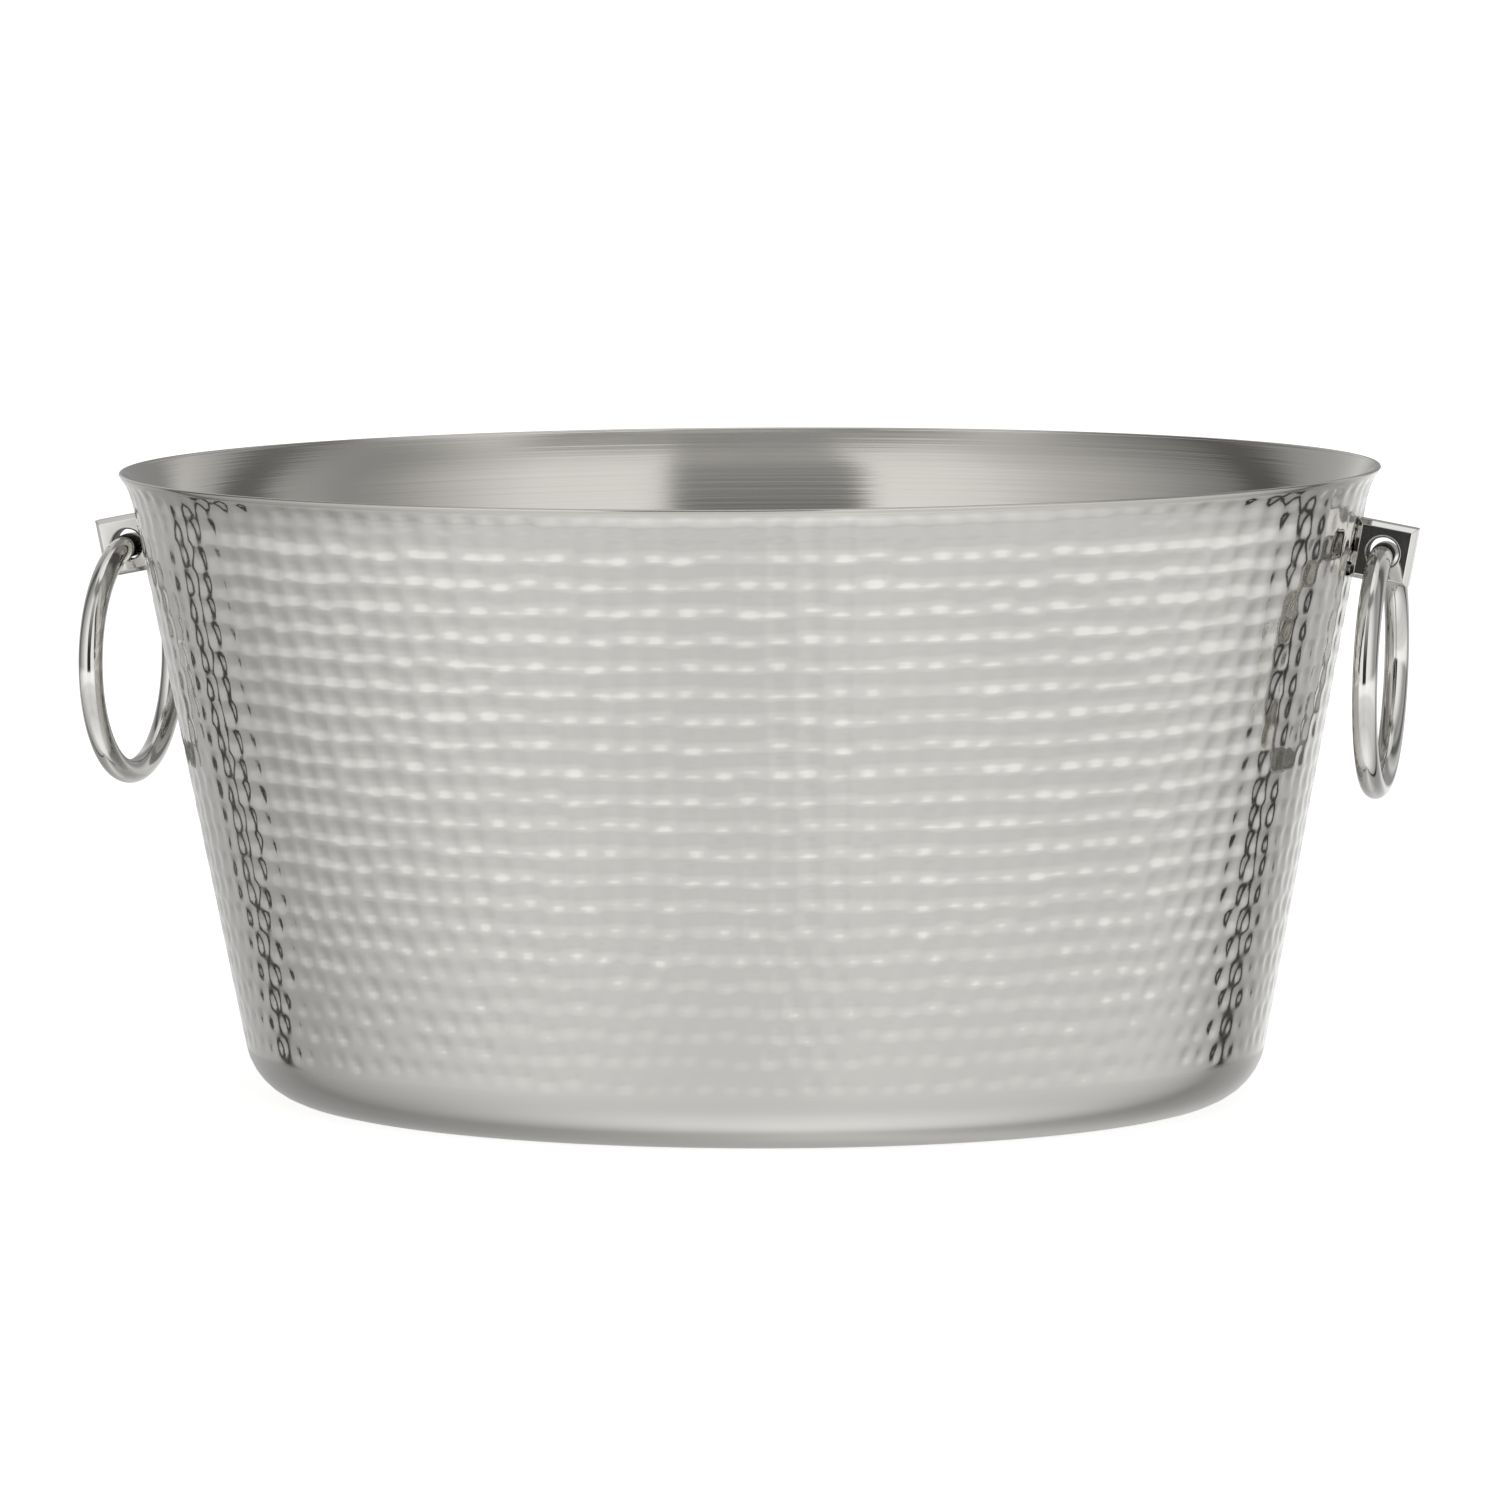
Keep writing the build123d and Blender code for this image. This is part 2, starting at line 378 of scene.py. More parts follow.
FLOAT, INT, GEOMETRY = "NodeSocketFloat", "NodeSocketInt", "NodeSocketGeometry"
OUT_OF_RANGE = 10.0          # added to the distance of a mark above or below the hammered band
ROW_SHIFT = 50.0             # keeps the row number in a mark's identity above zero
ROW_STRIDE = 1000.0          # identity numbers kept for each row, more than there are columns
LEAST_RADIUS = 0.001         # keeps the division safe where the marks fade out
SHARED_INPUTS = ("Columns", "Rows", "Scatter", "Variation", "Staggered rows", "Seed")
BOWL_POWER = 1.5             # how gently a mark's edge runs out into the sheet round it
RIM_SHARPNESS = 4.0          # how fast the marks gain depth below the smooth strip, per mark


def random_value(t, seed, shift, identity, low, high):
    """Random number fixed by a mark's identity and the seed, which is shifted for each use."""
    shifted = t.add("FunctionNodeIntegerMath", {0: seed, 1: shift}, operation="ADD")
    node = t.add("FunctionNodeRandomValue", data_type="FLOAT")
    for name, value in (("Min", low), ("Max", high), ("ID", identity), ("Seed", shifted)):
        t.feed(next(s for s in node.inputs if s.name == name and s.enabled), value)
    return next(s for s in node.outputs if s.enabled)


def build_one_mark():
    """Group: squared distance to one hammer mark beside the point, in marks, with its own scatter."""
    group = bpy.data.node_groups.new("Hammer mark", "GeometryNodeTree")
    add_sockets(group, [("Around", FLOAT), ("Up", FLOAT), ("Step around", FLOAT), ("Step up", FLOAT),
                        ("Columns", FLOAT), ("Rows", FLOAT), ("Scatter", FLOAT), ("Variation", FLOAT),
                        ("Staggered rows", FLOAT), ("Seed", INT)],
                [("Distance", FLOAT)])
    t = Tree(group)
    given = t.add("NodeGroupInput").outputs
    cell_around = t.math("ADD", t.math("FLOOR", given["Around"]), given["Step around"])
    cell_up = t.math("ADD", t.math("FLOOR", given["Up"]), given["Step up"])
    wrapped = t.math("FLOORED_MODULO", cell_around, given["Columns"])
    row = t.math("MULTIPLY", t.math("ADD", cell_up, ROW_SHIFT), ROW_STRIDE)
    identity = t.add("FunctionNodeFloatToInt", {0: t.math("ADD", row, wrapped)}).outputs[0]
    scatter = given["Scatter"]
    low = t.math("MULTIPLY", scatter, -1.0)
    stray_around = random_value(t, given["Seed"], 0, identity, low, scatter)
    stray_up = random_value(t, given["Seed"], 1, identity, low, scatter)
    shallow = random_value(t, given["Seed"], 2, identity, 0.0, given["Variation"])
    low_row = t.math("LESS_THAN", cell_up, given["Staggered rows"])
    half_step = t.math("MULTIPLY", t.math("MULTIPLY", t.math("FLOORED_MODULO", cell_up, 2.0), low_row), 0.5)
    squares = []
    for cell, stray, place in ((t.math("ADD", cell_around, half_step), stray_around, "Around"),
                               (cell_up, stray_up, "Up")):
        middle = t.math("ADD", t.math("ADD", cell, 0.5), stray)
        away = t.math("SUBTRACT", given[place], middle)
        squares.append(t.math("MULTIPLY", away, away))
    distance = t.math("ADD", t.math("ADD", *squares), shallow)
    below = t.math("LESS_THAN", cell_up, -0.5)
    above = t.math("GREATER_THAN", cell_up, t.math("SUBTRACT", given["Rows"], 0.5))
    outside = t.math("MULTIPLY", t.math("ADD", below, above), OUT_OF_RANGE)
    t.add("NodeGroupOutput", {"Distance": t.math("ADD", distance, outside)})
    return group


def build_hammering():
    """Geometry tree: sinks rows of shallow round marks into a smooth wall, meeting at soft crests."""
    mark = build_one_mark()
    tree = bpy.data.node_groups.new("Hammering", "GeometryNodeTree")
    add_sockets(tree, [("Wall", GEOMETRY), ("Columns", INT), ("Rows", INT), ("Depth", FLOAT),
                       ("Scatter", FLOAT), ("Variation", FLOAT), ("Spread", FLOAT), ("Foot share", FLOAT),
                       ("Full row", FLOAT), ("Rim strip", FLOAT), ("Staggered rows", INT), ("Seed", INT),
                       ("Material", "NodeSocketMaterial")],
                [("Wall", GEOMETRY)])
    t = Tree(tree)
    given = t.add("NodeGroupInput").outputs
    around = t.add("GeometryNodeInputNamedAttribute", {"Name": "around"}, data_type="FLOAT").outputs[0]
    up = t.add("GeometryNodeInputNamedAttribute", {"Name": "up"}, data_type="FLOAT").outputs[0]
    nearest = None
    for step_around in (-1.0, 0.0, 1.0):
        for step_up in (-1.0, 0.0, 1.0):
            one = t.add("GeometryNodeGroup", {"Around": around, "Up": up, "Step around": step_around,
                                              "Step up": step_up}, node_tree=mark)
            for name in SHARED_INPUTS:
                t.feed(one.inputs[name], given[name])
            nearest = one.outputs[0] if nearest is None else t.math("MINIMUM", nearest, one.outputs[0])
    climb = t.math("DIVIDE", up, given["Full row"], clamp=True)
    gained = t.math("MULTIPLY", climb, t.math("SUBTRACT", 1.0, given["Foot share"]))
    share = t.math("ADD", given["Foot share"], gained)
    below_top = t.math("SUBTRACT", given["Rows"], up)
    below_strip = t.math("SUBTRACT", below_top, given["Rim strip"])
    share = t.math("MULTIPLY", share, t.math("MULTIPLY", below_strip, RIM_SHARPNESS, clamp=True))
    edge = t.math("MAXIMUM", LEAST_RADIUS, t.math("MULTIPLY", share, given["Spread"]))
    inside = t.math("SUBTRACT", 1.0, t.math("DIVIDE", nearest, edge), clamp=True)
    bowl = t.math("POWER", inside, BOWL_POWER)
    depth = t.math("MULTIPLY", given["Depth"], t.math("SQRT", share))
    sink = t.math("MULTIPLY", t.math("MULTIPLY", bowl, depth), -1.0)
    normal = t.add("GeometryNodeInputNormal")
    offset = t.add("ShaderNodeVectorMath", {0: normal, "Scale": sink}, operation="SCALE")
    moved = t.add("GeometryNodeSetPosition", {"Geometry": given["Wall"], "Offset": offset})
    real = t.add("GeometryNodeRealizeInstances", {"Geometry": moved})
    painted = t.add("GeometryNodeSetMaterial", {"Geometry": real, "Material": given["Material"]})
    t.add("NodeGroupOutput", {"Wall": painted.outputs[0]})
    return tree


def run_geometry(piece, tree, values, name):
    """Runs a geometry tree on a piece with named input values, and leaves a plain mesh."""
    modifier = piece.modifiers.new("Geometry", "NODES")
    modifier.node_group = tree
    sockets = {item.name: item for item in tree.interface.items_tree if item.in_out == "INPUT"}
    for key, value in values.items():
        modifier[sockets[key].identifier] = value
    return plain_mesh(piece, name)


MARK_STEPS_AROUND = 5        # mesh columns across one mark
MARK_STEPS_UP = (0.0, 0.13, 0.32, 0.5, 0.68, 0.87)   # mesh levels of one mark, closer at its crests
SHELL_CORNER_STEPS = 8
SHELL_FLARE_STEPS = 6
SHELL_CREASE = radians(40)   # sharper edges than this stay sharp
NOT_HAMMERED = -1.0          # row number of the levels outside the hammered band


class TUB_OT_shell(bpy.types.Operator):
    """Build the outer shell: smooth foot, hammered wall and pressed-up bottom, as one closed sheet"""
    bl_idname = "drinks_tub.shell"
    bl_label = "Outer Shell"

    def execute(self, context):
        sizes = settings(context).tub_sizes
        hammer = settings(context).hammer_sizes
        form = TubForm(sizes)
        corner = form.corner(form.shell_reach, 0.0, sizes.shell_bottom_radius, SHELL_CORNER_STEPS)
        recess_r = form.shell_reach(0.0) - sizes.shell_bottom_radius - sizes.foot_width
        recess_edge = form.point(recess_r, 0.0)
        recess_top = form.point(recess_r - sizes.foot_recess, sizes.foot_recess)
        row = (form.shell_top - hammer.start) / hammer.rows
        levels = [r + share for r in range(hammer.rows) for share in MARK_STEPS_UP] + [hammer.rows]
        heights = [hammer.start + row * level for level in levels]
        wall = [form.point(form.shell_reach(z), z) for z in heights]
        outside = [*form.disc(recess_top, sizes.foot_recess, 2), recess_top, recess_edge, *corner, *wall]
        ups = [NOT_HAMMERED] * (len(outside) - len(wall)) + levels
        inside_corner = form.corner(form.shell_reach, sizes.shell_thickness,
                                    sizes.shell_bottom_radius - sizes.shell_thickness,
                                    SHELL_CORNER_STEPS // 2, -form.shell_inset)
        inside = form.wall(form.shell_reach, form.flare_start, form.shell_top, SHELL_FLARE_STEPS,
                           -form.shell_inset)
        inside_top = sizes.foot_recess + sizes.shell_thickness
        inner_edge = form.point(recess_r + sizes.shell_thickness, sizes.shell_thickness)
        inner_top = form.point(recess_r + sizes.shell_thickness - sizes.foot_recess, inside_top)
        lining = [*inside[::-1], *inside_corner[::-1], inner_edge, inner_top,
                  *form.disc(inner_top, inside_top, 1)[::-1]]
        middle = form.shell_reach(sizes.height / 2)
        angles = even_angles(middle, middle - form.half_difference, hammer.columns * MARK_STEPS_AROUND)
        mesh = lathe_oval("hammered_shell", outside + lining, angles)
        ups += [NOT_HAMMERED] * len(lining)
        around = np.arange(len(angles)) / MARK_STEPS_AROUND
        self.store(mesh, "around", np.append(np.tile(around, len(ups)), [0.0, 0.0]))
        self.store(mesh, "up", np.append(np.repeat(ups, len(angles)), [NOT_HAMMERED, NOT_HAMMERED]))
        material = hammered_steel(settings(context).finish, hammer)
        shell = new_piece("hammered_shell", mesh, material)
        run_geometry(shell, build_hammering(),
                     {"Columns": hammer.columns, "Rows": hammer.rows, "Depth": hammer.depth,
                      "Scatter": hammer.scatter, "Variation": hammer.variation, "Spread": hammer.spread,
                      "Foot share": hammer.foot_share, "Full row": hammer.full_row,
                      "Rim strip": hammer.rim_strip / row, "Staggered rows": hammer.staggered_rows,
                      "Seed": hammer.seed, "Material": material}, "hammered_shell")
        for name in ("around", "up"):
            shell.data.attributes.remove(shell.data.attributes[name])
        shell.data.shade_smooth()
        shell.data.set_sharp_from_angle(angle=SHELL_CREASE)
        require_closed(shell)
        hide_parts("outer_shell")
        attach(shell, "tub")
        return {"FINISHED"}

    @staticmethod
    def store(mesh, name, values):
        """Keeps a number for each point of a mesh."""
        layer = mesh.attributes.new(name, "FLOAT", "POINT")
        layer.data.foreach_set("value", np.asarray(values, dtype=np.float32))


# ---------------- liner

LINER_SEGMENTS = 384
LINER_CORNER_STEPS = 14
LINER_WALL_STEPS = 24
LIP_STEPS = 10
BACK_STEPS = 20
BEAD_STEPS = 12
HEM_EDGE = ((0.95, 1.1), (0.45, 0.0), (0.0, 0.2))   # out and up from the hem's lower edge, in half sheets
LINER_CREASE = radians(50)   # sharper edges than this stay sharp


class TUB_OT_liner(bpy.types.Operator):
    """Build the inner liner, with its lip and the bead that it rolls over the shell's edge"""
    bl_idname = "drinks_tub.liner"
    bl_label = "Inner Liner"

    def execute(self, context):
        sizes = settings(context).tub_sizes
        form = TubForm(sizes)
        floor_top = form.liner_floor + sizes.liner_thickness
        corner = form.corner(form.liner_reach, floor_top, sizes.liner_bottom_radius - sizes.liner_thickness,
                             LINER_CORNER_STEPS, -form.liner_inset)
        bend_start = sizes.height - sizes.lip_bend
        wall = form.wall(form.liner_reach, corner[-1][2], bend_start, LINER_WALL_STEPS, -form.liner_inset)
        outer_r = sizes.rim_length / 2
        bead_radius = sizes.rim_radius
        bead_z = sizes.height - bead_radius
        turn = sizes.lip_turn
        bead = []
        for i in range(BEAD_STEPS + 1):
            a = turn + (pi - turn) * i / BEAD_STEPS
            reach = outer_r - bead_radius - bead_radius * cos(a)
            bead.append(form.point(reach, bead_z + bead_radius * sin(a)))
        lip = self.bend(form, wall[-2], wall[-1], bead[0], tan(turn))
        hem_end = sizes.height - sizes.hem_height
        hem_r = form.shell_reach(hem_end) + sizes.seam
        sheet = sizes.liner_thickness / 2
        hem = [form.point(hem_r + out * sheet, hem_end + up * sheet) for out, up in HEM_EDGE]
        slot_top = form.shell_top + sizes.seam
        slot = [form.point(form.shell_reach(form.shell_top) + sizes.seam, slot_top),
                form.point(form.liner_reach(form.shell_top), slot_top)]
        back = form.wall(form.liner_reach, form.draw_in_start, form.lip_start, BACK_STEPS)[::-1]
        back_corner = form.corner(form.liner_reach, form.liner_floor, sizes.liner_bottom_radius,
                                  LINER_CORNER_STEPS // 2)
        inside = [*form.disc(corner[0], floor_top, 3), *corner, *wall[1:], *lip, *bead]
        outside = [*hem, *slot, *back, *back_corner[::-1],
                   *form.disc(back_corner[0], form.liner_floor, 1)[::-1]]
        middle = form.liner_reach(sizes.height / 2)
        angles = even_angles(middle, middle - form.half_difference, LINER_SEGMENTS)
        mesh = lathe_oval("brushed_liner", inside + outside, angles)
        mesh.flip_normals()
        mesh.set_sharp_from_angle(angle=LINER_CREASE)
        liner = new_piece("brushed_liner", mesh, brushed_steel(settings(context).finish))
        require_closed(liner)
        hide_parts("inner_liner")
        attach(liner, "tub")
        return {"FINISHED"}

    @staticmethod
    def bend(form, before, start, end, end_slope):
        """Levels that run smoothly from the wall's last level, at its slope, to an end level and slope."""
        slope = (start[0] - before[0]) / (start[2] - before[2])
        rise = end[2] - start[2]
        points = []
        for i in range(1, LIP_STEPS):
            share = i / LIP_STEPS
            ahead = share**2 * (3 - 2 * share)
            from_start = slope * rise * share * (1 - share)**2
            from_end = end_slope * rise * share**2 * (share - 1)
            reach = start[0] + (end[0] - start[0]) * ahead + from_start + from_end
            points.append(form.point(reach, start[2] + rise * share))
        return points


# ---------------- lugs and rings

HOLE_SEGMENTS = 96
RING_SEGMENTS = 192
WIRE_SEGMENTS = 40
ROUNDING_STEPS = 3
FLAT_FACE_WEIGHT = 100       # how far the lugs' flat faces rule the shading of their rounded edges
ROUNDED_EDGE = radians(30)   # sharper edges of a lug than this are rounded
BORE_TILT = 0.3              # most that a face of the bore's wall may face along the hole


def lug_frame(node, lean):
    """Place of a lug: its own X points out of the wall and its own Z up along it."""
    low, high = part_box(node)
    middle = (low + high) / 2
    outward = 1.0 if middle.x > 0 else -1.0
    x_axis = Vector((outward * cos(lean), 0.0, -sin(lean)))
    z_axis = Vector((outward * sin(lean), 0.0, cos(lean)))
    y_axis = z_axis.cross(x_axis)
    turn = Matrix((x_axis, y_axis, z_axis)).transposed().to_4x4()
    return Matrix.Translation(middle) @ turn


def chamfered_block(size, thickness, chamfer):
    """Square block with its two square faces chamfered all round."""
    mesh = bpy.data.meshes.new("lug_block")
    shape = bmesh.new()
    bmesh.ops.create_cube(shape, size=1.0, matrix=Matrix.Diagonal((size, thickness, size, 1.0)))
    face_edges = [e for e in shape.edges if abs(e.verts[0].co.y - e.verts[1].co.y) < thickness / 2]
    bmesh.ops.bevel(shape, geom=face_edges, offset=chamfer, segments=1, affect="EDGES")
    shape.to_mesh(mesh)
    shape.free()
    mesh.shade_smooth()
    return mesh


def hole_cutter(radius, half_length, chamfer):
    """Spool that cuts a hole along Y and chamfers both of its mouths."""
    reach = 2 * chamfer
    profile = [(radius + chamfer + reach, half_length + reach), (radius, half_length - chamfer),
               (radius, chamfer - half_length), (radius + chamfer + reach, -half_length - reach)]
    verts, faces = [], []
    for r, y in profile:
        for i in range(HOLE_SEGMENTS):
            a = 2 * pi * i / HOLE_SEGMENTS
            verts.append((r * cos(a), y, r * sin(a)))
    for k in range(len(profile) - 1):
        faces += band(k * HOLE_SEGMENTS, (k + 1) * HOLE_SEGMENTS, HOLE_SEGMENTS)
    faces.append(tuple(range(HOLE_SEGMENTS))[::-1])
    faces.append(tuple(range(len(verts) - HOLE_SEGMENTS, len(verts))))
    return outward_mesh("hole_cutter", verts, faces)


class TUB_OT_lugs(bpy.types.Operator):
    """Build the two square lugs with chamfered faces and a cross hole"""
    bl_idname = "drinks_tub.lugs"
    bl_label = "Lugs"

    def execute(self, context):
        chosen = settings(context)
        fittings = chosen.fitting_sizes
        lean = TubForm(chosen.tub_sizes).lean
        material = polished_steel(chosen.finish)
        # steel of the holes, painted dark as their shade
        shaded_bore = bore_shade_steel(chosen.finish)
        size = span("right_lug", 0) / (cos(lean) + sin(lean))
        cutter = new_object("hole_cutter", hole_cutter(
            fittings.lug_hole / 2, fittings.lug_thickness / 2, fittings.hole_chamfer))
        for side in SIDES:
            name = f"{side}_polished_lug"
            block = chamfered_block(size, fittings.lug_thickness, fittings.lug_chamfer)
            lug = new_piece(name, block, material)
            drill = lug.modifiers.new("Hole", "BOOLEAN")
            drill.object = cutter
            drill.solver = "EXACT"
            soften = lug.modifiers.new("Rounding", "BEVEL")
            soften.width = fittings.edge_rounding
            soften.segments = ROUNDING_STEPS
            soften.limit_method = "ANGLE"
            soften.angle_limit = ROUNDED_EDGE
            lug.modifiers.new("Flat faces", "WEIGHTED_NORMAL").weight = FLAT_FACE_WEIGHT
            plain_mesh(lug, name)
            self.paint_bore_shade(lug.data, fittings, shaded_bore)
            lug.data.transform(lug_frame(f"{side}_lug", lean))
            require_closed(lug)
            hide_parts(f"{side}_lug")
            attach(lug, "tub")
        bpy.data.objects.remove(cutter)
        return {"FINISHED"}

    @staticmethod
    def paint_bore_shade(mesh, fittings, shaded_bore):
        """Gives the faces inside the hole, short of its chamfers, the drilled hole's steel, painted dark as
        the hole's shade.
        """
        mesh.materials.append(shaded_bore)
        reach = fittings.lug_hole / 2 + fittings.hole_chamfer / 4
        for face in mesh.polygons:
            from_axis = sqrt(face.center.x**2 + face.center.z**2)
            if abs(face.normal.y) < BORE_TILT and from_axis < reach:
                face.material_index = 1


class TUB_OT_rings(bpy.types.Operator):
    """Build the two closed ring handles"""
    bl_idname = "drinks_tub.rings"
    bl_label = "Ring Handles"

    def execute(self, context):
        material = polished_steel(settings(context).finish)
        fittings = settings(context).fitting_sizes
        wire = fittings.ring_wire / 2
        radius = span("right_ring_handle", 1) / 2 - wire
        turns = {"right": Matrix.Rotation(fittings.right_ring_lean, 3, "Y"),
                 "left": Matrix.Rotation(fittings.left_ring_turn, 3, "Z")}
        for side in SIDES:
            node = f"{side}_ring_handle"
            low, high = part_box(node)
            mesh = self.torus((low + high) / 2, turns[side], radius, wire)
            ring = new_piece(f"{side}_polished_ring", mesh, material)
            require_closed(ring)
            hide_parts(node)
            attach(ring, f"{side}_ring")
        return {"FINISHED"}

    @staticmethod
    def torus(middle, turn, radius, wire):
        """Closed ring that stands across the tub, turned a little about its middle."""
        verts, faces = [], []
        for i in range(RING_SEGMENTS):
            a = 2 * pi * i / RING_SEGMENTS
            for j in range(WIRE_SEGMENTS):
                b = 2 * pi * j / WIRE_SEGMENTS
                reach = radius + wire * cos(b)
                verts.append(middle + turn @ Vector((wire * sin(b), reach * sin(a), reach * cos(a))))
            following = (i + 1) % RING_SEGMENTS
            faces += band(i * WIRE_SEGMENTS, following * WIRE_SEGMENTS, WIRE_SEGMENTS)
        return outward_mesh("ring", [tuple(v) for v in verts], faces)


class TUB_OT_hardware(bpy.types.Operator):
    """Give the screws, washers and backing plates inside the double wall their plain steel"""
    bl_idname = "drinks_tub.hardware"
    bl_label = "Hidden Hardware"

    def execute(self, context):
        material = plain_steel(settings(context).finish)
        for name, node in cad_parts.items():
            if name.endswith(("_plate", "_washer", "_screw")):
                node.data.materials.clear()
                node.data.materials.append(material)
        return {"FINISHED"}


# ---------------- materials

def build_grain_group():
    """Group: streaks that run level round the tub, and the soft blotches of handled metal."""
    group = bpy.data.node_groups.get("Metal grain")
    if group:
        return group
    group = bpy.data.node_groups.new("Metal grain", "ShaderNodeTree")
    add_sockets(group, [("Streaks along", FLOAT), ("Streaks across", FLOAT), ("Blotch scale", FLOAT)],
                [("Streaks", FLOAT), ("Blotches", FLOAT)])
    t = Tree(group)
    given = t.add("NodeGroupInput").outputs
    place = t.add("ShaderNodeTexCoord").outputs["Object"]
    parts = t.add("ShaderNodeSeparateXYZ", {0: place})
    along = given["Streaks along"]
    across = given["Streaks across"]
    stretched = t.add("ShaderNodeCombineXYZ", {"X": t.math("MULTIPLY", parts.outputs["X"], along),
                                               "Y": t.math("MULTIPLY", parts.outputs["Y"], along),
                                               "Z": t.math("MULTIPLY", parts.outputs["Z"], across)})
    streaks = t.add("ShaderNodeTexNoise", {"Vector": stretched, "Scale": 1.0, "Detail": 3.0,
                                           "Roughness": 0.6})
    blotches = t.add("ShaderNodeTexNoise", {"Vector": place, "Scale": given["Blotch scale"],
                                            "Detail": 4.0, "Roughness": 0.55})
    t.add("NodeGroupOutput", {"Streaks": streaks, "Blotches": blotches})
    return group


COLOUR_A, COLOUR_B, COLOUR_RESULT = 6, 7, 2      # a Mix node's sockets when it mixes colours
FLOAT_A, FLOAT_B = 2, 3                          # a Mix node's sockets when it mixes numbers
FINEST_STREAKS = 900.0                           # streaks in a metre, across the direction of brushing


def metal(name, base, roughness, spread, tint, streaks, blotches, relief):
    """Metal whose roughness and colour vary in blotches and whose relief is streaks.

    Streaks are counts in a metre, along and across the brushing, and relief is (strength, distance).
    Returns the material, its tree, its roughness node and its shader.
    """
    material, t = new_material(name)
    grain = t.add("ShaderNodeGroup", node_tree=build_grain_group())
    grain.inputs["Streaks along"].default_value = streaks[0]
    grain.inputs["Streaks across"].default_value = streaks[1]
    grain.inputs["Blotch scale"].default_value = blotches
    dark = [level * (1 - tint) for level in base[:3]] + [1.0]
    shade = t.add("ShaderNodeMix", {"Factor": grain.outputs["Blotches"]}, data_type="RGBA")
    shade.inputs[COLOUR_A].default_value = base
    shade.inputs[COLOUR_B].default_value = dark
    rough = t.add("ShaderNodeMapRange", {"Value": grain.outputs["Blotches"], "From Min": 0.25,
                                         "From Max": 0.75, "To Min": roughness - spread,
                                         "To Max": roughness + spread})
    bump = t.add("ShaderNodeBump", {"Strength": relief[0], "Distance": relief[1],
                                    "Height": grain.outputs["Streaks"]})
    shader = t.add("ShaderNodeBsdfPrincipled", {"Base Color": shade.outputs[COLOUR_RESULT],
                                                "Metallic": 1.0, "Roughness": rough, "Normal": bump})
    t.add("ShaderNodeOutputMaterial", {"Surface": shader})
    return material, t, rough, shader


SATIN_ROUGHNESS = 0.2        # added to the shell's roughness on its foot band
SATIN_EDGE = 2 * MM          # height over which the satin fades into the hammering


def hammered_steel(finish, hammer):
    """Bright hammered sheet whose foot band, below the hammering, is satin."""
    material, t, rough, shader = metal(
        "hammered steel", finish.shell_colour, roughness=0.10, spread=0.02, tint=0.05,
        streaks=(30.0, FINEST_STREAKS), blotches=25.0, relief=(0.12, 0.03 * MM))
    place = t.add("ShaderNodeTexCoord").outputs["Object"]
    level = t.add("ShaderNodeSeparateXYZ", {0: place}).outputs["Z"]
    satin = t.add("ShaderNodeMapRange", {"Value": level, "From Min": hammer.start,
                                         "From Max": hammer.start - SATIN_EDGE,
                                         "To Min": 0.0, "To Max": SATIN_ROUGHNESS}, clamp=True)
    t.feed(shader.inputs["Roughness"], t.math("ADD", rough, satin))
    return material


def brushed_steel(finish):
    """Satin liner, brushed level round the tub, so that its reflections draw out up and down the wall."""
    material, t, _, shader = metal(
        "brushed steel", finish.liner_colour, roughness=0.17, spread=0.04, tint=0.06,
        streaks=(4.0, FINEST_STREAKS), blotches=14.0, relief=(0.6, 0.15 * MM))
    place = t.add("ShaderNodeTexCoord").outputs["Object"]
    round_tub = t.add("ShaderNodeVectorMath", {0: place, 1: (0.0, 0.0, -1.0)}, operation="CROSS_PRODUCT")
    t.feed(shader.inputs["Tangent"], round_tub)
    shader.inputs["Anisotropic"].default_value = 0.85
    shader.inputs["Anisotropic Rotation"].default_value = 0.25
    return material


def polished_steel(finish):
    """Polished steel of the lugs and rings, made once and shared by all four."""
    found = bpy.data.materials.get("polished steel")
    if found:
        return found
    return metal("polished steel", finish.fitting_colour, roughness=0.07, spread=0.02, tint=0.05,
                 streaks=(500.0, 500.0), blotches=60.0, relief=(0.08, 0.02 * MM))[0]


def bore_shade_steel(finish):
    """Drilled, unpolished steel inside the lugs' holes, its colour painted dark as the shade in the holes.
    """
    # painted shade: the hardware's colour scaled down to the bore's share
    dark = (*[level * finish.bore_shade_share for level in finish.hardware_colour[:3]], 1.0)
    return metal("bore steel painted with shade", dark, roughness=0.45, spread=0.05, tint=0.2,
                 streaks=(FINEST_STREAKS, FINEST_STREAKS), blotches=200.0, relief=(0.3, 0.05 * MM))[0]


def plain_steel(finish):
    """Machine-made steel of the screws, washers and backing plates."""
    return metal("plain steel", finish.hardware_colour, roughness=0.35, spread=0.08, tint=0.15,
                 streaks=(FINEST_STREAKS, FINEST_STREAKS), blotches=120.0, relief=(0.3, 0.05 * MM))[0]


# ---------------- stage

WHITE = (1.0, 1.0, 1.0, 1.0)
SENSOR_WIDTH = 36.0          # millimetres
FULL_TURN = (360.0, -180.0)  # degrees a bearing ramp spans, and its first one
HALF_TURN = (180.0, -90.0)   # the same for a climb ramp


